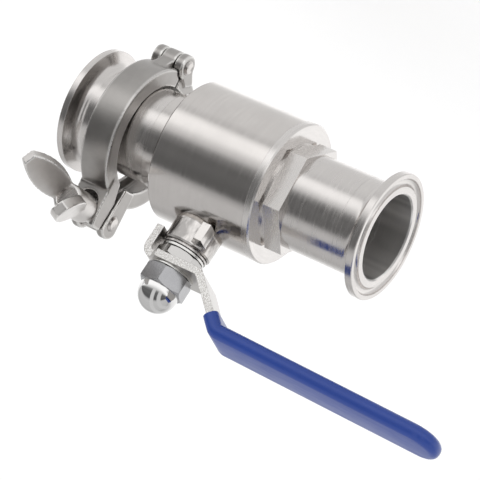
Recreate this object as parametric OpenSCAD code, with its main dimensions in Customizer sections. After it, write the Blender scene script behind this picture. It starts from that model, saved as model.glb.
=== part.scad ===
// Two-way sanitary ball valve with clamp ferrules, a lever and a hinged pipe clamp carried on its neck.
// The flow runs along X, the stem points up along Z, and the origin is the centre of the ball.

/* [Ends] */
// Outside diameter of both ferrules
ferrule_d = 50.5; // [48:0.5:56]
// Outside diameter of the tube ends
tube_d = 38; // [36:0.25:38.5]
// Diameter of the flow bore, the same all the way through
bore_d = 34; // [30:0.5:34.5]
// Distance from the stem axis to the face of each ferrule
face_x = 68; // [66:1:80]
// Thickness of a ferrule at its rim
rim_t = 2.8; // [2:0.1:3.6]
// Slope of the back of a ferrule, in degrees
rim_slope = 20; // [12:1:26]
// Radius of the fillet between a ferrule and its tube
flare_r = 4; // [2:0.25:4.5]
// Mean diameter of the gasket groove in a ferrule's face
groove_d = 43.5; // [42:0.25:44.5]
// Radius of the gasket groove's round section
groove_r = 1.6; // [1:0.1:1.8]
// Width of the broken edge where the bore opens
mouth_edge = 0.5; // [0.2:0.1:1]

/* [Body] */
// Outside diameter of the barrel
barrel_d = 57; // [56:0.5:64]
// Distance from the stem axis to the barrel's inlet end
barrel_in = 22; // [21:0.5:26]
// Distance from the stem axis to the barrel's outlet end
barrel_out = 24.5; // [24:0.5:27]
// Diameter of the collar that carries the inlet tube
collar_d = 40; // [39.5:0.5:44]
// Length of that collar
collar_l = 9; // [4:0.5:12]
// Width of the broken edges of the barrel
barrel_edge = 0.6; // [0.2:0.1:1.2]
// Thickness of the end cap's flange
cap_flange = 3; // [2.5:0.25:3.5]
// Distance across the flats of the end cap's hexagon
cap_af = 39; // [39:0.5:42]
// Width of that hexagon
cap_hex_w = 7.4; // [5:0.2:9]
// Length of the round step between the end cap's flange and its hexagon
cap_step = 0.8; // [0.4:0.1:2]
// Angle of the hexagon about the flow axis
cap_hex_turn = 39.5; // [0:0.5:60]
// Diameter of the end cap's threaded plug
plug_d = 52; // [51:0.25:53]

/* [Ball and seats] */
// Diameter of the ball
ball_d = 48; // [47:0.25:48.5]
// Room between the ball and the barrel's wall
ball_room = 0.6; // [0.4:0.1:0.8]
// Outside diameter of a seat ring
seat_d = 46; // [45:0.25:47]
// Distance from the stem axis to the back of each seat
seat_back = 18.6; // [18:0.1:19]
// Length of a seat ring
seat_l = 5.2; // [4.5:0.1:5.6]
// Running clearance between the ball and its seats
seat_gap = 0.05; // [0.02:0.01:0.1]
// Length of the seal between the plug and the barrel
seal_l = 1.3; // [1:0.1:1.5]
// Width of that seal's section
seal_w = 1.4; // [1:0.1:1.5]

/* [Stem] */
// Diameter of the stem and of its thread
stem_d = 10; // [9:0.25:10.5]
// Distance across the flats that carry the lever
stem_flats = 8; // [7:0.25:8.5]
// Diameter of the stem's shoulder inside the body
shoulder_d = 15.2; // [14:0.2:15.8]
// Running clearance around the stem
stem_gap = 0.05; // [0.03:0.01:0.09]
// Width of the stem's tang in the ball's slot
tang_w = 5.8; // [5:0.1:6.5]
// Length of the tang
tang_l = 13; // [11:0.5:14]
// Thickness of the thrust washer
thrust_t = 1; // [0.6:0.1:1.4]
// Outside diameter of the stem boss
boss_d = 20; // [19:0.25:21]
// Height of the stem boss above the flow axis
boss_z = 37.6; // [36:0.2:39]
// Diameter of the packing chamber
chamber_d = 16; // [15:0.25:16.5]
// Height of one packing ring
packing_h = 2.6; // [2:0.1:2.8]
// Thickness of the gland ring's flange
gland_flange = 0.8; // [0.6:0.1:1.2]
// Height of the pair of disc springs
spring_h = 1.5; // [1.2:0.1:1.8]
// Angle of the gland nut about the stem
gland_turn = 38; // [0:1:60]
// Angle of the cap nut about the stem
nut_turn = 20; // [0:1:60]
// Distance across the flats of the gland nut and of the cap nut
nut_af = 17; // [16:0.5:18]
// Height of the gland nut
gland_nut_h = 4.2; // [3.5:0.1:5]

/* [Lever] */
// Thickness of the lever's plate
plate_t = 3; // [2.5:0.1:3.6]
// Width of the lever at its hub
hub_w = 20; // [19:0.5:23]
// Width of the lever inside the grip
bar_w = 16; // [14:0.5:17]
// Distance from the stem axis to the lever's first bend
bend_x = 13; // [12:0.25:16]
// Angle of the rising part of the lever
rise_a = 44; // [38:1:48]
// Straight length of the rising part
rise_l = 22; // [19:0.5:28]
// Angle of the grip part above the level
grip_a = 1.5; // [0:0.1:6]
// Straight length of the bar beyond the second bend
bar_l = 93.5; // [70:0.5:110]
// Middle radius of the lever's bends
bend_r = 3.5; // [3.5:0.25:5]
// Width of the stop tab
tab_w = 11; // [9:0.5:12]
// Length of the stop tab below the plate
tab_l = 10.5; // [9.5:0.25:11]
// Distance from the stem axis to the tab's inner face
tab_x = 10.6; // [10.5:0.1:12]
// Thickness of the grip, overall
grip_t = 6; // [5:0.2:6.8]
// Width of the grip, overall
grip_w = 20; // [18.5:0.5:24]
// Length of the rising part that the grip covers
grip_cover = 5.5; // [4:0.5:12]
// Height of the cap nut's hexagon
cap_nut_hex_h = 7.5; // [6:0.25:9]
// Diameter of the cap nut's dome
dome_d = 15.8; // [14:0.2:16]
// Height of the whole cap nut
cap_nut_h = 16.8; // [16:0.2:20]
// Thickness of the lock washer
lock_t = 0.9; // [0.6:0.1:1.4]

/* [Clamp] */
// Distance from the stem axis to the middle of the clamp, toward the inlet
clamp_at = 47; // [45:0.5:50]
// Angle of the clamp about the flow axis
clamp_turn = 14; // [0:1:30]
// Width of the clamp's band
band_w = 13; // [12.5:0.25:14]
// Outside diameter of the band
band_d = 58.6; // [57:0.2:62]
// Diameter of the opening between the band's lips
lip_d = 44.4; // [43:0.2:45]
// Diameter at the bottom of the band's groove
pocket_d = 52.4; // [51.5:0.2:53]
// Width of the groove at its bottom
pocket_w = 7.8; // [7:0.1:8]
// Gap at which the band's lip hangs on the tube
hang_gap = 0.3; // [0.2:0.05:0.5]
// Gap between the two halves' ears
half_gap = 0.6; // [0.4:0.1:1]
// Lean of the ears' meeting faces
split_lean = 9; // [0:0.5:12]
// Distance of the meeting faces in front of the clamp's centre, at the swing bolt
split_v = 5; // [3:0.25:6]
// Distance of the swing bolt's pin in front of the clamp's centre
pivot_v = 0.2; // [-0.5:0.1:1]
// Width of the front ear
front_ear_w = 13.8; // [13:0.2:15]
// Width of the rear ear
rear_ear_w = 15.4; // [15:0.2:17]
// Distance of the front ear's outer face in front of the clamp's centre
front_face = 13.2; // [12:0.2:14]
// Distance of the rear ear's outer face behind that pin
rear_ear_t = 5.4; // [5.2:0.1:6.5]
// Distance from the clamp's centre to the swing bolt
bolt_u = 36.2; // [35.5:0.1:38]
// Distance from the swing bolt to the front ear's tip
ear_tip = 5; // [4.5:0.25:6]
// Distance the front ear's slot runs on past the bolt, toward the band
slot_past = 3.4; // [2:0.2:4]
// Diameter of the hinge pin
hinge_pin_d = 4.8; // [4:0.1:5.5]
// Distance from the clamp's centre to the hinge pin
hinge_u = 31.4; // [31:0.1:33]
// Outside diameter of the hinge eyes
hinge_eye_d = 10; // [9:0.25:11]
// Width of the hinge's middle eye
tongue_w = 6.4; // [5.5:0.1:7.5]
// Clearance beside and around the hinge eyes
hinge_gap = 0.25; // [0.15:0.05:0.4]

/* [Swing bolt] */
// Diameter of the swing bolt
bolt_d = 8; // [7:0.25:8.5]
// Clearance on each side of the swing bolt
bolt_gap = 0.4; // [0.3:0.05:0.6]
// Diameter of the bolt's eye
bolt_eye_d = 10.2; // [9.5:0.1:10.4]
// Diameter of the bolt's pivot pin
pivot_pin_d = 5; // [4.5:0.1:5.5]
// Height of the peened pin heads
pin_head_h = 0.8; // [0.5:0.1:1.2]
// Diameter of the wing nut's hub
hub_d = 12; // [11:0.2:13]
// Height of the wing nut's hub
hub_h = 15; // [9:0.5:16]
// Length of a wing
wing_l = 27.5; // [20:0.5:29]
// Width of a wing
wing_w = 12.5; // [11.5:0.5:16]
// Thickness of a wing
wing_t = 4.2; // [2.6:0.2:4.8]
// Lean of a wing away from the bolt
wing_lean = 20; // [15:1:45]
// Width of a wing where it leaves the hub
wing_root = 5; // [4:0.5:7]
// Angle of the wings about the bolt
wing_turn = 150; // [100:1:190]

/* [Hidden] */
$fn = 64;

// Overlap that joins two shapes of one piece, and overshoot of a cut
e = 0.01;
over = 1;
// Radii
ferrule_r = ferrule_d / 2;
tube_r = tube_d / 2;
bore_r = bore_d / 2;
barrel_r = barrel_d / 2;
ball_r = ball_d / 2;
seat_r = seat_d / 2;
plug_r = plug_d / 2;
cavity_r = ball_r + ball_room;
stem_r = stem_d / 2;
shoulder_r = shoulder_d / 2;
boss_r = boss_d / 2;
boss_edge = 0.6;
chamber_r = chamber_d / 2;
hole_r = stem_r + stem_gap;
// Flow axis: the fillet behind a ferrule, the joints between the tubes and the body
flare_x = rim_t + (flare_r + sin(rim_slope) * (ferrule_r - tube_r - flare_r)) / cos(rim_slope);
stub_l = 12.7;
inlet_weld = barrel_in + collar_l;
cap_face = barrel_out - cap_flange;
hex_x = barrel_out + cap_step;
outlet_weld = hex_x + cap_hex_w;
seat_front = seat_back - seat_l;
plug_in = seat_front + 1;
seal_in = plug_in - seal_l;
// Stem axis, from the ball's slot up to the cap nut
slot_w = tang_w + 0.2;
slot_z = ball_r - 5;
tang_z = slot_z + 0.4;
shoulder_z0 = ball_r + 0.2;
shoulder_z1 = shoulder_z0 + 2.8;
o_ring_r = 0.8;
o_ring_z = shoulder_z0 + 1.4;
pocket_z = shoulder_z1 + thrust_t + stem_gap;
chamber_z = pocket_z + 2;
gland_z0 = chamber_z + 2 * packing_h;
gland_z1 = boss_z + 0.4;
spring_z = gland_z1 + gland_flange + 0.03;
gland_nut_z = spring_z + spring_h;
plate_z = gland_nut_z + gland_nut_h;
lock_z = plate_z + plate_t;
cap_nut_z = lock_z + lock_t;
dome_z = cap_nut_z + cap_nut_h - dome_d / 2;
stem_top = cap_nut_z + cap_nut_hex_h + 3;
// Lever, seen from the side: the straight part of the tab, where the grip starts, the far end
bend_steps = 8;
tab_drop = tab_l + plate_t / 2 - bend_r;
tab_turn_x = tab_x + plate_t / 2 - bend_r;
hub_back = 5.2;
grip_skin = (grip_t - plate_t) / 2;
rise_x = bend_x + bend_r * sin(rise_a);
rise_z = plate_z + plate_t / 2 + bend_r * (1 - cos(rise_a));
cover_x = rise_x + (rise_l - grip_cover) * cos(rise_a);
cover_z = rise_z + (rise_l - grip_cover) * sin(rise_a);
bar_x = rise_x + rise_l * cos(rise_a) + bend_r * (sin(rise_a) - sin(grip_a));
bar_z = rise_z + rise_l * sin(rise_a) + bend_r * (cos(grip_a) - cos(rise_a));
bar_end_x = bar_x + bar_l * cos(grip_a);
// Stops on the boss: the tab meets each with this gap
stop_gap = 0.1;
stop_w = 3.6;
stop_z0 = 28;
stop_z1 = plate_z - tab_l + 1.5;
stop_reach = tab_x + 1;
stop_l = 6.5;
// Clamp, in its own frame: Y is the front, Z points at the ears
hang = lip_d / 2 - tube_r - hang_gap;
hang_a = 137;
hinge_v = 1.6;
hinge_front = hinge_v + half_gap;
hinge_rear = hinge_v - half_gap;
band_front = 6.8;
band_rear = 1.8;
crown_r = front_face - pivot_v;
rear_face = pivot_v - rear_ear_t;
ear_u0 = 21.8;
ear_corner = 22.4;
ear_knee = 29.4;
ear_u1 = bolt_u + ear_tip;
slot_end = bolt_u - slot_past;
pin_r = pivot_pin_d / 2;
clevis_w = bolt_d + 2 * bolt_gap;
bolt_eye_w = bolt_d - 0.6;
hub_y = front_face + stop_gap / 2;
bolt_end = hub_y + hub_h - 1;
eye_r = hinge_eye_d / 2;
eye_relief = eye_r + 2 * hinge_gap;
lug_w = (rear_ear_w - tongue_w) / 2 - 2 * hinge_gap;
web_u = -27;
band_edge = 0.6;

module along_x(x) {
    translate([x, 0, 0]) rotate([0, 90, 0]) children();
}

module rod_x(x0, x1, r) {
    along_x(x0) cylinder(h = x1 - x0, r = r);
}

module rod_z(z0, z1, r) {
    translate([0, 0, z0]) cylinder(h = z1 - z0, r = r);
}

module tube_z(z0, z1, r_out, r_in) {
    difference() {
        rod_z(z0, z1, r_out);
        rod_z(z0 - over, z1 + over, r_in);
    }
}

// Disc with a broken edge at its upper rim
module edged_disc(h, r, edge) {
    cylinder(h = h - edge, r = r);
    translate([0, 0, h - edge]) cylinder(h = edge, r1 = r, r2 = r - edge);
}

// Hexagonal prism whose corners are turned off at the ends named
module turned_hex(af, h, low, high) {
    corner_r = af / sqrt(3);
    turned = (corner_r - af / 2) * 0.55;
    intersection() {
        cylinder(h = h, r = corner_r, $fn = 6);
        union() {
            translate([0, 0, low ? turned : 0])
                cylinder(h = h - (low ? turned : 0) - (high ? turned : 0), r = corner_r);
            if (low) cylinder(h = turned, r1 = af / 2 + 0.1, r2 = corner_r);
            if (high) translate([0, 0, h - turned])
                cylinder(h = turned, r1 = corner_r, r2 = af / 2 + 0.1);
        }
    }
}

// Ferrule and tube, with its face at zero and the tube running up to the length given
module ferrule(length) {
    difference() {
        union() {
            cylinder(h = length, r = tube_r);
            rotate_extrude() difference() {
                polygon([[bore_r, 0], [ferrule_r - 0.3, 0], [ferrule_r, 0.3], [ferrule_r, rim_t],
                    [tube_r + flare_r * (1 - sin(rim_slope)), flare_x - flare_r * cos(rim_slope)],
                    [tube_r + flare_r, flare_x], [bore_r, flare_x]]);
                translate([tube_r + flare_r, flare_x]) circle(r = flare_r);
            }
        }
        translate([0, 0, -over]) cylinder(h = length + 2 * over, r = bore_r);
        translate([0, 0, -e]) cylinder(h = mouth_edge + e, r1 = bore_r + mouth_edge, r2 = bore_r);
        rotate_extrude() translate([groove_d / 2, 0]) circle(r = groove_r);
    }
}

module inlet_ferrule() {
    color("silver") along_x(-face_x) ferrule(stub_l);
}

module outlet_ferrule() {
    color("silver") mirror([1, 0, 0]) inlet_ferrule();
}

// Tube between a ferrule and the body
module neck(x0, x1) {
    color("silver") difference() {
        rod_x(x0, x1, tube_r);
        rod_x(x0 - over, x1 + over, bore_r);
    }
}

module inlet_neck() {
    neck(stub_l - face_x, -inlet_weld);
}

module outlet_neck() {
    neck(outlet_weld, face_x - stub_l);
}

// Lug on the boss that the lever's tab comes to rest against when the valve is shut
module shut_stop() {
    translate([tab_w / 2 + stop_gap, stop_reach - stop_l, stop_z0])
        cube([stop_w, stop_l, stop_z1 - stop_z0]);
}

module stem_boss() {
    color("silver") difference() {
        union() {
            rod_z(0, boss_z - boss_edge, boss_r);
            translate([0, 0, boss_z - boss_edge])
                cylinder(h = boss_edge, r1 = boss_r, r2 = boss_r - boss_edge);
            shut_stop();
            mirror([1, 1, 0]) shut_stop();
        }
        rod_x(-barrel_r, barrel_r, cavity_r);
        rod_z(0, pocket_z, shoulder_r + 2 * stem_gap);
        rod_z(0, chamber_z + e, hole_r);
        rod_z(chamber_z, boss_z + over, chamber_r);
    }
}

module valve_body() {
    color("silver") difference() {
        union() {
            along_x(-barrel_in) cylinder(h = barrel_edge, r1 = barrel_r - barrel_edge, r2 = barrel_r);
            rod_x(barrel_edge - barrel_in, cap_face, barrel_r);
            rod_x(-inlet_weld, -barrel_in + e, collar_d / 2);
        }
        rod_x(-inlet_weld - over, cap_face + over, bore_r);
        rod_x(-seat_back, 0, seat_r);
        rod_x(-seat_front - 1, seal_in, cavity_r);
        rod_x(seal_in - e, cap_face + over, plug_r);
        rod_z(0, boss_z, boss_r);
    }
}

module end_cap() {
    color("silver") difference() {
        union() {
            rod_x(plug_in, cap_face + e, plug_r);
            along_x(cap_face) edged_disc(cap_flange, barrel_r, barrel_edge);
            rod_x(barrel_out - e, outlet_weld, tube_r);
            rod_x(barrel_out - e, hex_x + e, cap_af / 2 + 1);
            along_x(hex_x) rotate([0, 0, cap_hex_turn + 30]) turned_hex(cap_af, cap_hex_w, false, false);
        }
        rod_x(plug_in - over, outlet_weld + over, bore_r);
        rod_x(plug_in - over, seat_back, seat_r);
    }
}

module seat_ring() {
    color("white") difference() {
        rod_x(seat_front, seat_back, seat_r);
        rod_x(seat_front - over, seat_back + over, bore_r);
        sphere(r = ball_r + seat_gap);
    }
}

module inlet_seat() {
    mirror([1, 0, 0]) seat_ring();
}

module outlet_seat() {
    seat_ring();
}

module body_seal() {
    color("white") difference() {
        rod_x(seal_in, plug_in, plug_r);
        rod_x(seal_in - over, plug_in + over, plug_r - seal_w);
    }
}

module ball() {
    color("gainsboro") difference() {
        sphere(r = ball_r);
        rod_x(-ball_r - over, ball_r + over, bore_r);
        translate([-slot_w / 2, -ball_r, slot_z]) cube([slot_w, ball_d, ball_r]);
    }
}

module stem() {
    color("silver") difference() {
        union() {
            translate([-tang_w / 2, -tang_l / 2, tang_z]) cube([tang_w, tang_l, shoulder_z0 + e - tang_z]);
            rod_z(shoulder_z0, shoulder_z1, shoulder_r);
            rod_z(shoulder_z0, stem_top - 0.8, stem_r);
            translate([0, 0, stem_top - 0.8]) cylinder(h = 0.8, r1 = stem_r, r2 = stem_r - 0.8);
        }
        for (side = [0, 180]) rotate([0, 0, side])
            translate([stem_flats / 2, -stem_d, plate_z]) cube([stem_d, 2 * stem_d, stem_top]);
        tube_z(o_ring_z - o_ring_r, o_ring_z + o_ring_r, shoulder_r + over, shoulder_r - 2 * o_ring_r);
    }
}

module stem_o_ring() {
    color("dimgray") translate([0, 0, o_ring_z]) rotate_extrude()
        translate([shoulder_r - o_ring_r, 0]) circle(r = o_ring_r);
}

module thrust_washer() {
    color("white") tube_z(shoulder_z1 + stem_gap, pocket_z, shoulder_r, hole_r);
}

// Packing ring whose upper face is a shallow vee, for the next ring to sit in
module packing_ring(z, foot, top) {
    vee = 0.8;
    mid_r = (chamber_r + hole_r) / 2;
    color("white") rotate_extrude() polygon([
        [hole_r, z], if (foot) [mid_r, z + vee], [chamber_r, z],
        [chamber_r, z + packing_h], if (top) [mid_r, z + packing_h + vee], [hole_r, z + packing_h]]);
}

module lower_packing() {
    packing_ring(chamber_z, false, true);
}

module upper_packing() {
    packing_ring(chamber_z + packing_h, true, false);
}

module gland_ring() {
    color("silver") {
        tube_z(gland_z0, gland_z1 + e, chamber_r - stem_gap, hole_r);
        tube_z(gland_z1, gland_z1 + gland_flange, chamber_r + 1.2, hole_r);
    }
}

// Two coned springs stacked foot to foot
module disc_springs() {
    t = spring_h / 3;
    outer = chamber_r + 0.8;
    color("silver") for (side = [0, 1]) translate([0, 0, spring_z + side * spring_h])
        mirror([0, 0, side]) rotate_extrude() polygon([
            [stem_r, 0], [stem_r, t], [outer, spring_h / 2], [outer, spring_h / 2 - t]]);
}

module gland_nut() {
    color("silver") translate([0, 0, gland_nut_z]) difference() {
        rotate([0, 0, gland_turn]) turned_hex(nut_af, gland_nut_h, true, true);
        translate([0, 0, -over]) cylinder(h = gland_nut_h + 2 * over, r = stem_r);
    }
}

// One side of a strip that follows straight runs joined by round bends, as points. Each run is its
// length, then the turn after it in degrees. The side is 1 for the left edge and -1 for the right
function edge_of(runs, t, side, p, a, i = 0) = i == len(runs) ? [] : let(
    along = [cos(a), sin(a)],
    left = [-sin(a), cos(a)],
    turn = runs[i][1],
    bend = turn < 0 ? -1 : 1,
    q = p + runs[i][0] * along,
    centre = q + bend * bend_r * left,
    r = bend_r - bend * side * t / 2)
    concat(i == 0 ? [p + side * t / 2 * left] : [], [q + side * t / 2 * left],
        turn == 0 ? [] : [for (k = [1:bend_steps]) let(b = a + turn * k / bend_steps)
            centre - bend * r * [-sin(b), cos(b)]],
        edge_of(runs, t, side, centre - bend * bend_r * [-sin(a + turn), cos(a + turn)], a + turn, i + 1));

function reversed(list) = [for (i = [len(list) - 1:-1:0]) list[i]];

// The strip stands in the XZ plane and is as wide as given along Y
module strip(runs, t, p, a, w) {
    translate([0, w / 2, 0]) rotate([90, 0, 0]) linear_extrude(height = w)
        polygon(concat(edge_of(runs, t, 1, p, a), reversed(edge_of(runs, t, -1, p, a))));
}

// Upright prism whose plan is round at its far end
module round_end(x0, x1, w) {
    translate([x0, -w / 2, 0]) cube([x1 - w / 2 - x0, w, bar_z + bar_l]);
    translate([x1 - w / 2, 0, 0]) cylinder(h = bar_z + bar_l, r = w / 2);
}

module lever_solid() {
    intersection() {
        strip([[tab_drop, -90], [tab_turn_x + bend_x, rise_a], [rise_l, grip_a - rise_a], [bar_l, 0]],
            plate_t, [-tab_x - plate_t / 2, plate_z + plate_t / 2 - bend_r - tab_drop], 90, hub_w);
        union() {
            linear_extrude(height = bar_z + bar_l) polygon([
                [-tab_x - 2 * plate_t, -tab_w / 2], [-tab_turn_x, -tab_w / 2], [-hub_back, -hub_w / 2],
                [bend_x, -hub_w / 2], [cover_x, -bar_w / 2], [cover_x + bar_w, -bar_w / 2],
                [cover_x + bar_w, bar_w / 2], [cover_x, bar_w / 2], [bend_x, hub_w / 2],
                [-hub_back, hub_w / 2], [-tab_turn_x, tab_w / 2], [-tab_x - 2 * plate_t, tab_w / 2]]);
            round_end(cover_x + bar_w / 2, bar_end_x, bar_w);
        }
    }
}

module lever() {
    color("silver") difference() {
        lever_solid();
        intersection() {
            rod_z(plate_z - over, lock_z + over, stem_r);
            translate([-stem_flats / 2, -stem_d, plate_z - over])
                cube([stem_flats, 2 * stem_d, plate_t + 2 * over]);
        }
    }
}

module grip() {
    color("royalblue") difference() {
        intersection() {
            strip([[grip_cover, grip_a - rise_a], [bar_l + grip_skin, 0]], grip_t,
                [cover_x, cover_z], rise_a, grip_w);
            round_end(0, bar_end_x + grip_skin, grip_w);
        }
        lever_solid();
    }
}

module lock_washer() {
    color("gray") tube_z(lock_z, cap_nut_z, nut_af / 2 + 0.6, stem_r);
}

module cap_nut() {
    dome_r = dome_d / 2;
    color("gainsboro") difference() {
        union() {
            translate([0, 0, cap_nut_z]) rotate([0, 0, nut_turn])
                turned_hex(nut_af, cap_nut_hex_h, true, true);
            rod_z(cap_nut_z + cap_nut_hex_h - e, dome_z, dome_r);
            translate([0, 0, dome_z]) sphere(r = dome_r);
        }
        rod_z(cap_nut_z - over, stem_top + 1, stem_r);
    }
}

// Places a shape of the clamp's own frame on the neck
module on_neck() {
    translate([-clamp_at, hang * cos(hang_a + clamp_turn), hang * sin(hang_a + clamp_turn)])
        rotate([clamp_turn, 0, 0]) children();
}

// Prism across the clamp, from a profile in its front and ear directions
module slab(points, w) {
    translate([-w / 2, 0, 0]) rotate([90, 0, 90]) linear_extrude(height = w) polygon(points);
}

// Place of the ears' meeting plane at a distance from the clamp's centre
function split_at(u) = split_v + (u - bolt_u) * tan(split_lean);

// Part of the band that the outline leaves, with its groove
module half_band(outline) {
    half = band_w / 2;
    intersection() {
        difference() {
            rotate([0, 90, 0]) rotate_extrude() polygon([
                [0, -half], [band_d / 2 - band_edge, -half], [band_d / 2, band_edge - half],
                [band_d / 2, half - band_edge], [band_d / 2 - band_edge, half], [0, half]]);
            band_inside();
        }
        slab(outline, 2 * band_w);
    }
}

// Space that the band surrounds, groove and all
module band_inside() {
    slope = (pocket_d - lip_d) / 2 * tan(rim_slope);
    rotate([0, 90, 0]) rotate_extrude() polygon([
        [0, -band_w], [lip_d / 2, -band_w], [lip_d / 2, -pocket_w / 2 - slope],
        [pocket_d / 2, -pocket_w / 2], [pocket_d / 2, pocket_w / 2],
        [lip_d / 2, pocket_w / 2 + slope], [lip_d / 2, band_w], [0, band_w]]);
}

// Rod along X through the point given in the clamp's frame, centred on the band
module cross_rod(y, z, w, r) {
    translate([-w / 2, y, z]) rotate([0, 90, 0]) cylinder(h = w, r = r);
}

module at_hinge(w, r) {
    cross_rod(hinge_v, -hinge_u, w, r);
}

// Both copies of a block that lies beyond the middle eye
module beside_tongue() {
    for (side = [0, 1]) mirror([side, 0, 0]) translate([(tongue_w + lug_w) / 2 + hinge_gap, 0, 0]) children();
}

module clamp_front() {
    color("darkgray") on_neck() difference() {
        union() {
            half_band([[hinge_front, -band_d], [hinge_front, 0], [band_front, 0], [band_front, band_d],
                [band_d, band_d], [band_d, -band_d]]);
            intersection() {
                slab([[band_front, ear_u0], [band_front, ear_corner],
                    [split_at(ear_knee) + half_gap / 2, ear_knee], [split_at(ear_u1) + half_gap / 2, ear_u1],
                    [front_face, ear_u1], [front_face, ear_u0]], front_ear_w);
                union() {
                    translate([-front_ear_w, 0, 0]) cube([2 * front_ear_w, 2 * crown_r, bolt_u]);
                    cross_rod(pivot_v, bolt_u, 2 * front_ear_w, crown_r);
                }
            }
            at_hinge(tongue_w, eye_r);
            slab([[hinge_front, -hinge_u], [hinge_v + eye_r, -hinge_u], [hinge_v + 2 * eye_r, web_u],
                [hinge_v + eye_r, -hinge_u + eye_r + 2], [hinge_front, -hinge_u + eye_r]], tongue_w);
        }
        band_inside();
        translate([-clevis_w / 2, 0, slot_end]) cube([clevis_w, 2 * crown_r, ear_u1]);
        translate([0, 0, slot_end]) rotate([-90, 0, 0]) cylinder(h = 2 * crown_r, r = clevis_w / 2);
        beside_tongue() at_hinge(lug_w + 2 * hinge_gap, eye_relief);
        at_hinge(band_w, hinge_pin_d / 2 + stem_gap);
    }
}

module clamp_rear() {
    color("darkgray") on_neck() difference() {
        union() {
            half_band([[hinge_rear, -band_d], [hinge_rear, 0], [band_rear, 0], [band_rear, band_d],
                [-band_d, band_d], [-band_d, -band_d]]);
            intersection() {
                slab([[split_at(ear_u0) - half_gap / 2, ear_u0], [split_at(2 * bolt_u) - half_gap / 2, 2 * bolt_u],
                    [rear_face, 2 * bolt_u], [rear_face, ear_u0]], rear_ear_w);
                union() {
                    translate([-rear_ear_w, rear_face - over, 0]) cube([2 * rear_ear_w, 2 * crown_r, bolt_u]);
                    cross_rod(pivot_v, bolt_u, 2 * rear_ear_w, rear_ear_t + 1.2);
                }
            }
            beside_tongue() {
                at_hinge(lug_w, eye_r);
                slab([[hinge_rear, -hinge_u], [hinge_v - eye_r, -hinge_u], [hinge_v - 2 * eye_r, web_u],
                    [hinge_v - eye_r, -hinge_u + eye_r + 2], [hinge_rear, -hinge_u + eye_r]], lug_w);
            }
        }
        band_inside();
        translate([-clevis_w / 2, -band_d, bolt_u - bolt_eye_d / 2 - 0.6])
            cube([clevis_w, 2 * band_d, band_d]);
        at_hinge(tongue_w + 2 * hinge_gap, eye_relief);
        at_hinge(2 * band_w, hinge_pin_d / 2);
        cross_rod(pivot_v, bolt_u, 2 * rear_ear_w, pin_r);
    }
}

// Pin with a peened head at each end
module peened_pin(y, z, r, length) {
    cross_rod(y, z, length, r);
    for (side = [0, 1]) mirror([side, 0, 0])
        translate([length / 2, y, z]) rotate([0, 90, 0])
            cylinder(h = pin_head_h, r1 = r + 0.7, r2 = r - 0.2);
}

module hinge_pin() {
    color("silver") on_neck() peened_pin(hinge_v, -hinge_u, hinge_pin_d / 2, rear_ear_w - 2 * hinge_gap);
}

module bolt_pin() {
    color("silver") on_neck() peened_pin(pivot_v, bolt_u, pin_r, rear_ear_w);
}

module swing_bolt() {
    color("silver") on_neck() difference() {
        union() {
            cross_rod(pivot_v, bolt_u, bolt_eye_w, bolt_eye_d / 2);
            translate([0, pivot_v, bolt_u]) rotate([-90, 0, 0])
                cylinder(h = bolt_end - pivot_v, r = bolt_d / 2);
        }
        cross_rod(pivot_v, bolt_u, 2 * rear_ear_w, pin_r + stem_gap);
    }
}

module on_bolt(y) {
    translate([0, y, bolt_u]) rotate([-90, 0, 0]) children();
}

// Leaf-shaped wing that leans out from the end of the hub, broad face outward
module wing() {
    rise = (wing_w - wing_root) / 2;
    arc_r = (pow(wing_l / 2, 2) + pow(rise, 2)) / (2 * rise);
    translate([hub_d / 2 - wing_t, 0, hub_h - wing_t]) rotate([0, wing_lean, 0])
        translate([0, 0, wing_l / 2 - 1]) rotate([0, 90, 0]) linear_extrude(height = wing_t)
        intersection() {
            square([wing_l, wing_w], center = true);
            translate([0, wing_w / 2 - arc_r]) circle(r = arc_r);
            translate([0, arc_r - wing_w / 2]) circle(r = arc_r);
        }
}

module wing_nut() {
    color("darkgray") on_neck() on_bolt(hub_y) difference() {
        union() {
            cylinder(h = hub_h - 1, r = hub_d / 2);
            translate([0, 0, hub_h - 1]) cylinder(h = 1, r1 = hub_d / 2, r2 = hub_d / 2 - 1);
            for (side = [0, 180]) rotate([0, 0, wing_turn + side]) wing();
        }
        translate([0, 0, -over]) cylinder(h = hub_h + over, r = bolt_d / 2 + stem_gap);
    }
}

valve_body();
stem_boss();
inlet_neck();
inlet_ferrule();
end_cap();
outlet_neck();
outlet_ferrule();
inlet_seat();
outlet_seat();
body_seal();
ball();
stem();
stem_o_ring();
thrust_washer();
lower_packing();
upper_packing();
gland_ring();
disc_springs();
gland_nut();
lever();
grip();
lock_washer();
cap_nut();
clamp_front();
clamp_rear();
hinge_pin();
bolt_pin();
swing_bolt();
wing_nut();
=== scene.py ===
"""Looks of the sanitary ball valve: steels, vinyl, welds and castings on the CAD frame, and the studio."""

import math

import bmesh
import bpy
from mathutils import Matrix, Vector


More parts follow.
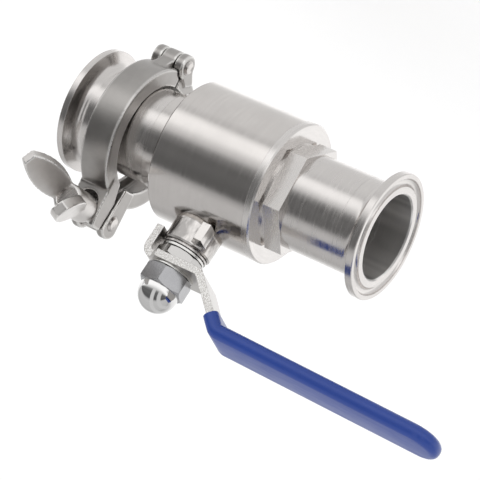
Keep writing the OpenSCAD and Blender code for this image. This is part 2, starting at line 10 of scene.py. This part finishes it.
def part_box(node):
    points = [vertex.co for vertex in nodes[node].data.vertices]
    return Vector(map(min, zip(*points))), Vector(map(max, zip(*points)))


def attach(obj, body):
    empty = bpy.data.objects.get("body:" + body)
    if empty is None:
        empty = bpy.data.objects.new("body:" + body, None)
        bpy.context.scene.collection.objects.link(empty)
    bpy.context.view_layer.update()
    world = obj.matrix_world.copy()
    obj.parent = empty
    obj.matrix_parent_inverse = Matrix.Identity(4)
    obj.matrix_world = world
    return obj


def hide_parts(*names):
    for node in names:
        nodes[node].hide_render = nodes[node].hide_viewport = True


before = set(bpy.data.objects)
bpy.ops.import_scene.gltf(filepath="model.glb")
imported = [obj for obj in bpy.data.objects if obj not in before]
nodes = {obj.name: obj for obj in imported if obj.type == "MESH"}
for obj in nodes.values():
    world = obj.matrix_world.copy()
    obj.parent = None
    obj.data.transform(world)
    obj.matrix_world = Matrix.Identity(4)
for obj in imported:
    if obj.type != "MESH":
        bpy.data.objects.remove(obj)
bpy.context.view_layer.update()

MM = 0.001

# Camera: the photograph's place, turn and lens, and how far it sees in metres
CAMERA_AT = (432.9 * MM, 812.1 * MM, 302.8 * MM)
CAMERA_RIGHT = Vector((0.8197, -0.2423, -0.519))
CAMERA_UP = Vector((-0.3712, 0.4653, -0.8035))
LENS_MM = 190.2
SENSOR_MM = 36.0
CAMERA_REACH = 20.0

# Floor: height and width in metres, its colour, and how much it glows to the camera alone
FLOOR_Z = -0.10
FLOOR_SIZE = 6.0
FLOOR_PALE = (0.9, 0.9, 0.9)
FLOOR_ROUGH = 0.9
FLOOR_LIFT = 0.16

# Studio light in reflections: each row is an angle about the flow axis, from +Y toward +Z, with how
# bright the room is there. It is pale, with a bright strip, and dark round the camera
STUDIO_LIGHT = 1.5
ROOM = ((-180, 0.72), (-150, 0.86), (-134, 0.90), (-122, 0.63), (-110, 0.585), (-50, 0.585),
        (-37, 0.48), (-30, 0.82), (-24, 0.94), (-12, 0.90), (-3, 0.64), (3, 0.52), (11, 0.20),
        (23, 0.10), (35, 0.11), (48, 0.09), (60, 0.085), (67, 0.36), (76, 0.47), (108, 0.45),
        (133, 0.44), (148, 0.36), (166, 0.52), (180, 0.72))

# Two upright lamps in the dark patch, as how far along the flow axis they lie
LAMPS = ((-1.0, 0.0), (-0.19, 0.0), (-0.14, 0.52), (0.16, 0.52), (0.21, 0.0), (0.43, 0.0),
         (0.47, 0.50), (0.72, 0.50), (0.76, 0.0), (1.0, 0.0))

# Grip, as in the CAD source
GRIP_T = 6.0 * MM
GRIP_W = 20.0 * MM
GRIP_ROUND = 2.7 * MM
GRIP_COVER = 5.5 * MM
GRIP_BEND_R = 3.5 * MM
RISE_TURN = math.radians(44.0)
BAR_TILT = math.radians(1.5)

# Grip's round tip keeps this flat in its middle. The steps are how finely each curve is cut
GRIP_TIP_FLAT = 0.3 * MM
TIP_STEPS = 14
ROUND_STEPS = 6
BEND_STEPS = 8
SMOOTH_BELOW = math.radians(32)

# Places closer than these count as the same, when picking and when merging
PICK_GAP = 0.01 * MM
MERGE_GAP = 0.001 * MM

# Castings: the size of the grid they are remade on, and how far their edges are worn round
CAST_GRID = 0.42 * MM
CAST_ROUNDS = 7
CAST_WEAR = 0.5

# Height of the cap nut's hexagon, as in the CAD source
CAP_HEX_H = 7.5 * MM

# Steel colours
STEEL = (0.665, 0.637, 0.617)
BRIGHT_STEEL = (0.74, 0.715, 0.697)
TUBE_STEEL = (0.695, 0.668, 0.65)
BOSS_STEEL = (0.64, 0.615, 0.595)
MIRROR_STEEL = (0.66, 0.655, 0.65)
NUT_STEEL = (0.72, 0.715, 0.71)
GLAND_STEEL = (0.50, 0.49, 0.48)
SPRING_STEEL = (0.7, 0.69, 0.67)
PLATE_STEEL = (0.60, 0.58, 0.56)
CAST_STEEL = (0.43, 0.413, 0.398)
WING_STEEL = (0.72, 0.695, 0.675)

# Colours of places on the steel: weld, bore, flats of the cap nut, the casting's painted shade in recesses
# and its worn edges, sheared edges
WELD_DARK, WELD_PALE = (0.20, 0.175, 0.155), (0.55, 0.51, 0.47)
BORE_TINT = (0.94, 0.92, 0.90)
FLATS_DARK, FLATS_PALE = (0.30, 0.30, 0.31), (0.44, 0.44, 0.45)
CAST_RECESS_SHADE, CAST_WORN = (0.27, 0.245, 0.225), (0.86, 0.85, 0.83)
SHEAR_DARK, SHEAR_PALE = (0.56, 0.54, 0.52), (0.93, 0.92, 0.90)

# How much of its brightness steel keeps in the dark patches of hand buffing
BUFF_SHADE = 0.52

# Seals, ring and grip
SEAL_WHITE = (0.86, 0.85, 0.82)
RING_BLACK = (0.03, 0.03, 0.03)
VINYL_BLUE = (0.015, 0.055, 0.31)

# Where a finish changes on the turned pieces, as distances from the flow axis
BORE_LIMIT = 17.6 * MM
BARREL_R = 28.5 * MM
LUG_START = BARREL_R + 0.3 * MM
WELD_REACH = 1.6 * MM

# How much of a face's normal lies along the flow axis where it counts as an end face
END_FACE = 0.9

# Roughness of the bore and the weld, and what the cap nut's flats add to the polish
BORE_ROUGH = 0.5
WELD_ROUGH = 0.2
FLATS_ROUGH = 0.16

# Width of the broken edges
TURNED_EDGE = 0.25 * MM
BUFFED_EDGE = 0.3 * MM


class Graph:
    """A node tree, with short ways to add and join its nodes."""

    def __init__(self, tree):
        self.tree = tree

    def put(self, socket, value):
        """Joins a socket to another one, or gives it a value."""
        if isinstance(value, bpy.types.NodeSocket):
            self.tree.links.new(value, socket)
        else:
            socket.default_value = value

    def fill(self, n, values):
        """Fills a node's inputs in their order, and gives its first output."""
        for socket, value in zip(n.inputs, values):
            self.put(socket, value)
        return n.outputs[0]

    def node(self, kind, **inputs):
        n = self.tree.nodes.new(kind)
        for key, value in inputs.items():
            self.put(n.inputs[key.replace("_", " ")], value)
        return n

    def source(self, kind, output):
        """An output of a new node that takes nothing in."""
        return self.tree.nodes.new(kind).outputs[output]

    def math(self, operation, *values):
        n = self.tree.nodes.new("ShaderNodeMath")
        n.operation = operation
        return self.fill(n, values)

    def split(self, vector):
        return self.node("ShaderNodeSeparateXYZ", Vector=vector).outputs

    def ramp(self, value, *stops):
        n = self.node("ShaderNodeValToRGB", Fac=value)
        marks = n.color_ramp.elements
        while len(marks) < len(stops):
            marks.new(0.5)
        for mark, (at, shade) in zip(marks, stops):
            mark.position = at
            mark.color = (shade, shade, shade, 1)
        return n.outputs[0]

    def either(self, choice, first, second):
        """The first shader, or the second where the choice is 1."""
        return self.fill(self.tree.nodes.new("ShaderNodeMixShader"), (choice, first, second))


class Look(Graph):
    """The node tree of a new material, with its shader and the place of each point on the piece."""

    def __init__(self, name):
        self.material = bpy.data.materials.new(name)
        self.material.use_nodes = True
        super().__init__(self.material.node_tree)
        self.shader = self.tree.nodes["Principled BSDF"]
        self.place = self.source("ShaderNodeTexCoord", "Object")

    def set(self, socket, value):
        self.put(self.shader.inputs[socket], value)

    def stretched(self, scale):
        return self.node("ShaderNodeMapping", Vector=self.place, Scale=scale).outputs[0]

    def noise(self, vector, scale, detail, rough):
        n = self.node("ShaderNodeTexNoise", Vector=vector, Scale=scale, Detail=detail, Roughness=rough)
        return n.outputs[0]

    def mix(self, factor, a, b, blend="MIX"):
        n = self.tree.nodes.new("ShaderNodeMix")
        n.data_type = "RGBA"
        n.blend_type = blend
        for i, value in ((0, factor), (6, a), (7, b)):
            self.put(n.inputs[i], (*value, 1) if isinstance(value, tuple) else value)
        return n.outputs[2]

    def scaled(self, value, low, high):
        """The value, taken from 0..1 to low..high."""
        return self.math("MULTIPLY_ADD", value, high - low, low)

    def bump(self, *layers, edge=0.0):
        """Bumps stacked on each other. A layer is its height, strength and distance in metres."""
        normal = self.node("ShaderNodeBevel", Radius=edge).outputs[0] if edge else None
        for height, strength, distance in layers:
            n = self.node("ShaderNodeBump", Height=height, Strength=strength, Distance=distance)
            if normal:
                self.put(n.inputs["Normal"], normal)
            normal = n.outputs[0]
        self.set("Normal", normal)

    def off_axis(self):
        """Distance from the flow axis."""
        n = self.tree.nodes.new("ShaderNodeVectorMath")
        n.operation = "LENGTH"
        self.put(n.inputs[0], self.stretched((0, 1, 1)))
        return n.outputs["Value"]

    def buffed(self, color):
        """The colour with the dark and bright patches of hand buffing."""
        patch = self.noise(self.stretched((1.0, 1.0, 0.45)), 230.0, 3.0, 0.6)
        return self.mix(self.ramp(patch, (0.40, 0.0), (0.58, 1.0)), darker(color, BUFF_SHADE), color)


def darker(color, share):
    """The colour at a share of its brightness."""
    return tuple(c * share for c in color)


def welded_boss(name, color, rough):
    """Polished boss with uneven buffing, and a rippled darker weld where it meets the barrel."""
    g = Look(name)
    cloud = g.noise(g.place, 150.0, 4.0, 0.6)
    ripple = g.noise(g.place, 620.0, 3.0, 0.6)
    wave = g.noise(g.place, 75.0, 2.0, 0.5)
    weld = g.ramp(g.math("DIVIDE", g.math("SUBTRACT", g.off_axis(), BARREL_R), WELD_REACH),
                  (0.0, 1.0), (0.55, 0.9), (1.0, 0.0))
    tint = g.mix(ripple, WELD_DARK, WELD_PALE)
    g.set("Base Color", g.mix(weld, g.buffed(color), tint))
    g.set("Metallic", 1.0)
    g.set("Roughness", g.math("ADD", g.scaled(cloud, rough * 0.7, rough * 1.5),
                              g.math("MULTIPLY", weld, WELD_ROUGH)))
    g.bump((wave, 0.5, 0.5 * MM), (cloud, 0.15, 0.08 * MM),
           (g.math("MULTIPLY", ripple, weld), 0.7, 0.35 * MM), edge=BUFFED_EDGE)
    return g.material


def turned_steel(name, color, rough, marks, spread, smudge=0.10, face_rough=None):
    """Steel turned about the flow axis: fine marks around it, smudges, broken edges, a duller bore."""
    g = Look(name)
    x, y, z = g.split(g.place)
    radius = g.off_axis()
    along = g.math("ADD", x, g.math("MULTIPLY", radius, 0.7))
    angle = g.math("ARCTAN2", z, y)

    def rings(per_metre, per_radian):
        return g.node("ShaderNodeCombineXYZ", X=g.math("MULTIPLY", along, per_metre),
                      Y=g.math("MULTIPLY", angle, per_radian), Z=0.0).outputs[0]

    fine = g.noise(rings(5200.0, 3.0), 1.0, 4.0, 0.7)
    broad = g.ramp(g.noise(rings(900.0, 1.6), 1.0, 3.0, 0.6), (0.34, 0.0), (0.66, 1.0))
    cloud = g.noise(g.place, 55.0, 4.0, 0.6)
    tone = g.mix(broad, darker(color, 1 - marks), color)
    outside = g.mix(g.ramp(cloud, (0.35, 0.0), (0.7, 1.0)), tone, darker(color, 0.90))
    on_lug = g.math("GREATER_THAN", radius, LUG_START)
    outside = g.mix(on_lug, outside, g.buffed(color))
    in_bore = g.math("LESS_THAN", radius, BORE_LIMIT)
    wedges = g.ramp(g.noise(g.stretched((0.12, 1.0, 1.0)), 95.0, 2.0, 0.5),
                    (0.36, 0.48), (0.50, 0.74), (0.60, 1.0))
    g.set("Base Color", g.mix(in_bore, outside, g.mix(1.0, wedges, BORE_TINT, "MULTIPLY")))
    g.set("Metallic", 1.0)
    uneven = g.math("MULTIPLY", g.math("SUBTRACT", broad, 0.5), spread)
    shine = g.math("ADD", g.scaled(cloud, rough - smudge / 2, rough + smudge / 2), uneven)
    if face_rough is not None:
        normal = g.source("ShaderNodeTexCoord", "Normal")
        on_face = g.math("GREATER_THAN", g.math("ABSOLUTE", g.split(normal)[0]), END_FACE)
        shine = g.math("ADD", shine, g.math("MULTIPLY", on_face, face_rough - rough))
    g.set("Roughness", g.math("ADD", shine, g.math("MULTIPLY", in_bore, BORE_ROUGH - rough)))
    g.bump((fine, 0.05 + marks, 0.02 * MM), (broad, 0.5 * marks, 0.03 * MM), edge=TURNED_EDGE)
    return g.material


def polished_steel(name, color, rough, dark_flats_below=None):
    """Buffed steel with faint haze and a few hairlines; below a height the flats are rougher and much
    darker in colour.
    """
    g = Look(name)
    cloud = g.noise(g.place, 160.0, 4.0, 0.6)
    hair = g.noise(g.stretched((1.0, 1.0, 6.0)), 900.0, 3.0, 0.6)
    tone = g.mix(cloud, darker(color, 0.94), color)
    shine = g.scaled(cloud, rough * 0.6, rough * 1.5)
    if dark_flats_below is not None:
        flats = g.math("LESS_THAN", g.split(g.place)[2], dark_flats_below)
        # Below the height the flats get a far darker colour as well as more roughness
        tone = g.mix(flats, tone, g.mix(cloud, FLATS_DARK, FLATS_PALE))
        shine = g.math("ADD", shine, g.math("MULTIPLY", flats, FLATS_ROUGH))
    g.set("Base Color", tone)
    g.set("Metallic", 1.0)
    g.set("Roughness", shine)
    g.bump((cloud, 0.12, 0.05 * MM), (hair, 0.04, 0.01 * MM), edge=BUFFED_EDGE)
    return g.material


def cast_steel(name, color, rough, grain):
    """Investment casting, tumbled: soft pits, blotches, edges worn brighter, and painted shade darkening
    its recesses and inner corners.
    """
    g = Look(name)
    pits = g.noise(g.place, 1500.0, 3.0, 0.6)
    waves = g.noise(g.place, 140.0, 3.0, 0.5)
    blotch = g.noise(g.place, 70.0, 4.0, 0.6)
    bent = g.source("ShaderNodeNewGeometry", "Pointiness")
    wear = g.math("MULTIPLY", g.ramp(bent, (0.508, 0.0), (0.54, 1.0)), g.scaled(pits, 0.5, 1.0))
    # Painted shade: where the surface curves inwards, in recesses and inner corners, the colour goes dark
    painted_recess_shade = g.ramp(bent, (0.43, 1.0), (0.49, 0.0))
    tone = g.mix(g.ramp(blotch, (0.3, 0.0), (0.7, 1.0)), darker(color, 0.80), color)
    tone = g.mix(painted_recess_shade, tone, CAST_RECESS_SHADE)
    g.set("Base Color", g.mix(wear, tone, CAST_WORN))
    g.set("Metallic", 1.0)
    g.set("Roughness", g.math("SUBTRACT", g.scaled(blotch, rough - 0.06, rough + 0.08),
                              g.math("MULTIPLY", wear, 0.12)))
    g.bump((waves, 0.30, 0.16 * MM), (pits, grain, 0.04 * MM))
    return g.material


def rolled_plate(name, color):
    """Rolled plate: smooth faces, and a speckled, torn look where the press has sheared it."""
    g = Look(name)
    across = g.split(g.source("ShaderNodeTexCoord", "Normal"))[1]
    sheared = g.ramp(g.math("ABSOLUTE", across), (0.5, 0.0), (0.6, 1.0))
    speck = g.noise(g.place, 2300.0, 3.0, 0.7)
    roll = g.noise(g.stretched((0.25, 3.0, 0.25)), 700.0, 3.0, 0.6)
    cloud = g.noise(g.place, 90.0, 3.0, 0.5)
    rough_edge = g.mix(g.ramp(speck, (0.42, 0.0), (0.58, 1.0)), SHEAR_DARK, SHEAR_PALE)
    face = g.mix(cloud, darker(color, 0.88), color)
    g.set("Base Color", g.mix(sheared, face, rough_edge))
    g.set("Metallic", 1.0)
    g.set("Roughness", g.math("ADD", g.scaled(cloud, 0.24, 0.36), g.math("MULTIPLY", sheared, 0.2)))
    g.bump((roll, 0.10, 0.02 * MM), (g.math("MULTIPLY", speck, sheared), 0.5, 0.10 * MM), edge=BUFFED_EDGE)
    return g.material


def vinyl(name, color):
    """Dip-moulded vinyl: soft sheen, fine orange peel, faint scuffs."""
    g = Look(name)
    peel = g.noise(g.place, 900.0, 3.0, 0.5)
    flow = g.noise(g.stretched((0.3, 1.0, 1.0)), 110.0, 3.0, 0.5)
    scuff = g.noise(g.stretched((0.2, 1.0, 1.0)), 420.0, 4.0, 0.7)
    g.set("Base Color", g.mix(flow, darker(color, 0.86), color))
    g.set("Roughness", g.scaled(g.ramp(scuff, (0.4, 0.0), (0.75, 1.0)), 0.30, 0.42))
    g.set("Specular IOR Level", 0.45)
    g.set("Coat Weight", 0.12)
    g.set("Coat Roughness", 0.22)
    g.bump((flow, 0.10, 0.15 * MM), (peel, 0.08, 0.02 * MM))
    return g.material


def seal(name, color, rough):
    """Seal material: slightly waxy, with turning marks too fine to see one by one."""
    g = Look(name)
    cloud = g.noise(g.place, 120.0, 3.0, 0.5)
    fine = g.noise(g.stretched((6.0, 1.0, 1.0)), 700.0, 2.0, 0.5)
    g.set("Base Color", g.mix(cloud, darker(color, 0.93), color))
    g.set("Roughness", g.scaled(cloud, rough - 0.06, rough + 0.06))
    g.set("Subsurface Weight", 0.05)
    g.bump((fine, 0.1, 0.02 * MM))
    return g.material


cap_flats_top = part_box("cap_nut")[0][2] + CAP_HEX_H
finishes = {
    "barrel": turned_steel("barrel_steel", STEEL, 0.16, 0.05, 0.08, face_rough=0.10),
    "tube": turned_steel("tube_steel", TUBE_STEEL, 0.22, 0.09, 0.12, smudge=0.06),
    "hexagon": turned_steel("hexagon_steel", BRIGHT_STEEL, 0.27, 0.10, 0.10, smudge=0.06, face_rough=0.14),
    "boss": welded_boss("boss_steel", BOSS_STEEL, 0.13),
    "mirror": polished_steel("polished_steel", MIRROR_STEEL, 0.06),
    "cap_nut": polished_steel("nut_steel", NUT_STEEL, 0.05, dark_flats_below=cap_flats_top),
    "gland": polished_steel("gland_steel", GLAND_STEEL, 0.12),
    "turned": turned_steel("turned_steel", STEEL, 0.28, 0.12, 0.1),
    "spring": polished_steel("spring_steel", SPRING_STEEL, 0.2),
    "plate": rolled_plate("plate_steel", PLATE_STEEL),
    "cast": cast_steel("cast_steel", CAST_STEEL, 0.31, 0.25),
    "wing": cast_steel("wing_steel", WING_STEEL, 0.34, 0.35),
    "seal": seal("seal_white", SEAL_WHITE, 0.4),
    "rubber": seal("ring_rubber", RING_BLACK, 0.55),
    "vinyl": vinyl("grip_vinyl", VINYL_BLUE),
}
WEARS = {
    "valve_body": "barrel", "stem_boss": "boss", "inlet_neck": "tube", "inlet_ferrule": "tube",
    "end_cap": "hexagon", "outlet_neck": "tube", "outlet_ferrule": "tube", "inlet_seat": "seal",
    "outlet_seat": "seal", "body_seal": "seal", "ball": "mirror", "stem": "turned",
    "stem_o_ring": "rubber", "thrust_washer": "seal", "lower_packing": "seal", "upper_packing": "seal",
    "gland_ring": "turned", "disc_springs": "spring", "gland_nut": "gland", "lever": "plate",
    "grip": "vinyl", "lock_washer": "spring", "cap_nut": "cap_nut", "clamp_front": "cast",
    "clamp_rear": "cast", "hinge_pin": "turned", "bolt_pin": "turned", "swing_bolt": "turned",
    "wing_nut": "wing",
}
for name, ob in nodes.items():
    ob.data.materials.clear()
    ob.data.materials.append(finishes[WEARS[name]])


def alone(ob):
    """Selects one object and nothing else."""
    bpy.ops.object.select_all(action="DESELECT")
    ob.select_set(True)
    bpy.context.view_layer.objects.active = ob


def settle(ob):
    """Leaves the object at the origin, with its place in its mesh."""
    alone(ob)
    bpy.ops.object.transform_apply(location=True, rotation=True, scale=True)


def dress(ob, name, finish, body, slot_name, *replaced):
    """Names, paints and mounts a finished piece."""
    ob.name = name
    ob.data.name = name
    ob.data.materials.clear()
    ob.data.materials.append(finishes[finish])
    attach(ob, body)
    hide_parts(*replaced)


def pick(ob, kind, test):
    """Selects the parts of a mesh that pass the test, and leaves edit mode on, in the mode of their kind.

    A face is tested by its middle and normal, an edge by its two ends.
    """
    bpy.ops.object.mode_set(mode="EDIT")
    bpy.ops.mesh.select_mode(type=kind)
    mesh = bmesh.from_edit_mesh(ob.data)
    if kind == "FACE":
        rows = [(face, face.calc_center_median(), face.normal) for face in mesh.faces]
    else:
        rows = [(edge, edge.verts[0].co, edge.verts[1].co) for edge in mesh.edges]
    for part, _, _ in rows:
        part.select_set(False)
    for part, a, b in rows:
        if test(a, b):
            part.select_set(True)
    mesh.select_flush_mode()
    bmesh.update_edit_mesh(ob.data)


def apply(ob, kind, **settings):
    """Adds a modifier and applies it at once."""
    alone(ob)
    modifier = ob.modifiers.new(kind.lower(), kind)
    for key, value in settings.items():
        setattr(modifier, key, value)
    bpy.ops.object.modifier_apply(modifier=modifier.name)


def copy_of(node):
    """A copy of a CAD node's mesh, merged, as a piece of its own."""
    ob = bpy.data.objects.new(node + "_copy", nodes[node].data.copy())
    bpy.context.scene.collection.objects.link(ob)
    alone(ob)
    bpy.ops.object.mode_set(mode="EDIT")
    bpy.ops.mesh.select_all(action="SELECT")
    bpy.ops.mesh.remove_doubles(threshold=MERGE_GAP)
    bpy.ops.object.mode_set(mode="OBJECT")
    return ob


def make_grip():
    """The grip: a flat bar with a round tip and rounded edges, swept back round the lever's bend."""
    low, high = (Vector(c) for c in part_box("grip"))
    sweep = RISE_TURN - BAR_TILT
    half = GRIP_T / 2
    rise = Vector((math.cos(RISE_TURN), 0, math.sin(RISE_TURN)))
    across_rise = Vector((-math.sin(RISE_TURN), 0, math.cos(RISE_TURN)))
    across_bar = Vector((-math.sin(BAR_TILT), 0, math.cos(BAR_TILT)))
    mouth = Vector((low.x + half * math.sin(RISE_TURN), 0, low.z + half * math.cos(RISE_TURN)))
    bend_centre = mouth + GRIP_COVER * rise - GRIP_BEND_R * across_rise
    bar_start = bend_centre + GRIP_BEND_R * across_bar
    run = (high.x - bar_start.x) / math.cos(BAR_TILT) - half * math.tan(BAR_TILT)
    bpy.ops.object.select_all(action="DESELECT")
    bpy.ops.mesh.primitive_cube_add(size=1)
    ob = bpy.context.object
    ob.scale = (run, GRIP_W, GRIP_T)
    ob.location = (run / 2, 0, 0)
    settle(ob)
    pick(ob, "EDGE", lambda a, b: min(a.x, b.x) > run - PICK_GAP and abs(a.y - b.y) < PICK_GAP)
    bpy.ops.mesh.bevel(offset=GRIP_W / 2 - GRIP_TIP_FLAT, segments=TIP_STEPS, affect="EDGES")
    pick(ob, "EDGE", lambda a, b: abs(a.z - b.z) < PICK_GAP and max(a.x, b.x) > PICK_GAP)
    bpy.ops.mesh.bevel(offset=GRIP_ROUND, segments=ROUND_STEPS, affect="EDGES")
    pick(ob, "FACE", lambda middle, normal: normal.x < -0.99 and middle.x < PICK_GAP)
    bpy.ops.mesh.spin(steps=BEND_STEPS, angle=sweep, center=(0, 0, -GRIP_BEND_R), axis=(0, 1, 0))
    bpy.ops.mesh.extrude_region_move(TRANSFORM_OT_translate={
        "value": (-GRIP_COVER * math.cos(sweep), 0, -GRIP_COVER * math.sin(sweep))})
    bpy.ops.mesh.select_all(action="SELECT")
    bpy.ops.mesh.remove_doubles(threshold=MERGE_GAP)
    bpy.ops.mesh.normals_make_consistent(inside=False)
    bpy.ops.object.mode_set(mode="OBJECT")
    ob.rotation_euler = (0, -BAR_TILT, 0)
    ob.location = bar_start
    settle(ob)
    cutter = copy_of("lever")
    apply(ob, "BOOLEAN", operation="DIFFERENCE", object=cutter, solver="EXACT")
    bpy.data.objects.remove(cutter, do_unlink=True)
    alone(ob)
    bpy.ops.object.shade_smooth_by_angle(angle=SMOOTH_BELOW)
    dress(ob, "vinyl_grip", "vinyl", "lever_set", "grip_vinyl", "grip")


def make_casting(node, name, finish, body):
    """A casting remade on a fine grid, with its edges and inner corners worn round."""
    ob = copy_of(node)
    apply(ob, "REMESH", mode="VOXEL", voxel_size=CAST_GRID, use_smooth_shade=True)
    apply(ob, "SMOOTH", factor=CAST_WEAR, iterations=CAST_ROUNDS)
    dress(ob, name, finish, body, "cast_steel", node)


make_grip()
make_casting("clamp_front", "cast_front_half", "cast", "front_half")
make_casting("clamp_rear", "cast_rear_half", "cast", "rear_half")
make_casting("wing_nut", "cast_wing_nut", "wing", "nut")

# Camera
cam_data = bpy.data.cameras.new("camera")
cam = bpy.data.objects.new("camera", cam_data)
bpy.context.scene.collection.objects.link(cam)
right = CAMERA_RIGHT.normalized()
back = right.cross(CAMERA_UP).normalized()
up = back.cross(right)
cam.matrix_world = Matrix.Translation(CAMERA_AT) @ Matrix((right, up, back)).transposed().to_4x4()
cam_data.lens = LENS_MM
cam_data.sensor_width = SENSOR_MM
cam_data.clip_end = CAMERA_REACH
bpy.context.scene.camera = cam


def bands(g, value, rows):
    """Brightness by rows, for a value that goes from 0 at the first row to 1 at the last."""
    low, high = rows[0][0], rows[-1][0]
    return g.ramp(value, *(((at - low) / (high - low), shade) for at, shade in rows))


# Studio: reflections see the room and its lamps, and everything else is lit by a plain level of 1
world = bpy.data.worlds.new("studio")
bpy.context.scene.world = world
world.use_nodes = True
sky = Graph(world.node_tree)
x, y, z = sky.split(sky.source("ShaderNodeTexCoord", "Generated"))
along = sky.math("MULTIPLY_ADD", x, 0.5, 0.5)
turn = sky.math("MULTIPLY_ADD", sky.math("ARCTAN2", z, y), 1 / (2 * math.pi), 0.5)
room = sky.math("MAXIMUM", bands(sky, turn, ROOM), bands(sky, along, LAMPS))
studio = sky.fill(sky.tree.nodes["Background"], (room, STUDIO_LIGHT))
plain = sky.node("ShaderNodeBackground", Color=(1, 1, 1, 1)).outputs[0]
in_reflection = sky.source("ShaderNodeLightPath", "Is Glossy Ray")
sky.put(sky.tree.nodes["World Output"].inputs[0], sky.either(in_reflection, plain, studio))

# Floor: pale, seen as white with the object's soft shadow left on it. Reflections see the room through it
floor_look = Look("floor")
floor_look.set("Base Color", (*FLOOR_PALE, 1))
floor_look.set("Roughness", FLOOR_ROUGH)
rays = floor_look.tree.nodes.new("ShaderNodeLightPath").outputs
lift = floor_look.node("ShaderNodeEmission",
                       Strength=floor_look.math("MULTIPLY", rays["Is Camera Ray"], FLOOR_LIFT))
pale = floor_look.fill(floor_look.tree.nodes.new("ShaderNodeAddShader"),
                       (floor_look.shader.outputs[0], lift.outputs[0]))
clear = floor_look.source("ShaderNodeBsdfTransparent", 0)
floor_look.put(floor_look.tree.nodes["Material Output"].inputs[0],
               floor_look.either(rays["Is Glossy Ray"], pale, clear))
bpy.ops.object.select_all(action="DESELECT")
bpy.ops.mesh.primitive_plane_add(size=FLOOR_SIZE, location=(0, 0, FLOOR_Z))
floor = bpy.context.object
floor.name = "floor"
floor.data.materials.append(floor_look.material)
bpy.context.scene.view_settings.view_transform = "Standard"

bpy.context.view_layer.update()
